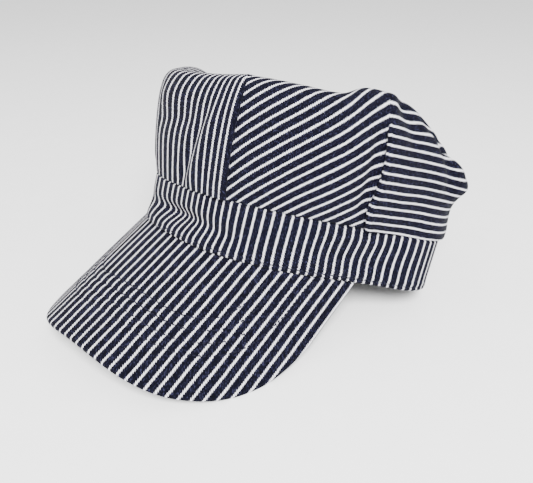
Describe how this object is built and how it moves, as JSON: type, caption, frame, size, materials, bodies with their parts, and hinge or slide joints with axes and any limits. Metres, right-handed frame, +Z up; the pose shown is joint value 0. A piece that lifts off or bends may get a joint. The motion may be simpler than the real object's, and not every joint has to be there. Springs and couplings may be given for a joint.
{
  "type": "railroad engineer cap",
  "caption": "Soft striped cotton cap with a pleated crown, a tall stitched band round the head opening and a curved quilted bill.",
  "frame": {"origin": "middle of the cap's bounding box, on the surface that it rests on", "axes": "the bill points to -Y, the wearer's left is +X, +Z is up from the surface"},
  "size_m": [0.2388, 0.247, 0.142],
  "materials": {
    "crown_cloth": "navy and off-white striped cotton twill, stripes over the top from front to back",
    "band_cloth": "navy and off-white striped cotton twill, upright stripes, topstitched at the lower edge",
    "bill_cloth": "navy and off-white striped cotton twill over a stiff core, stripes towards the front, rows of stitching"
  },
  "bodies": {
    "root": {"crown": "crown_cloth", "band": "band_cloth", "bill": "bill_cloth"}
  },
  "joints": []
}
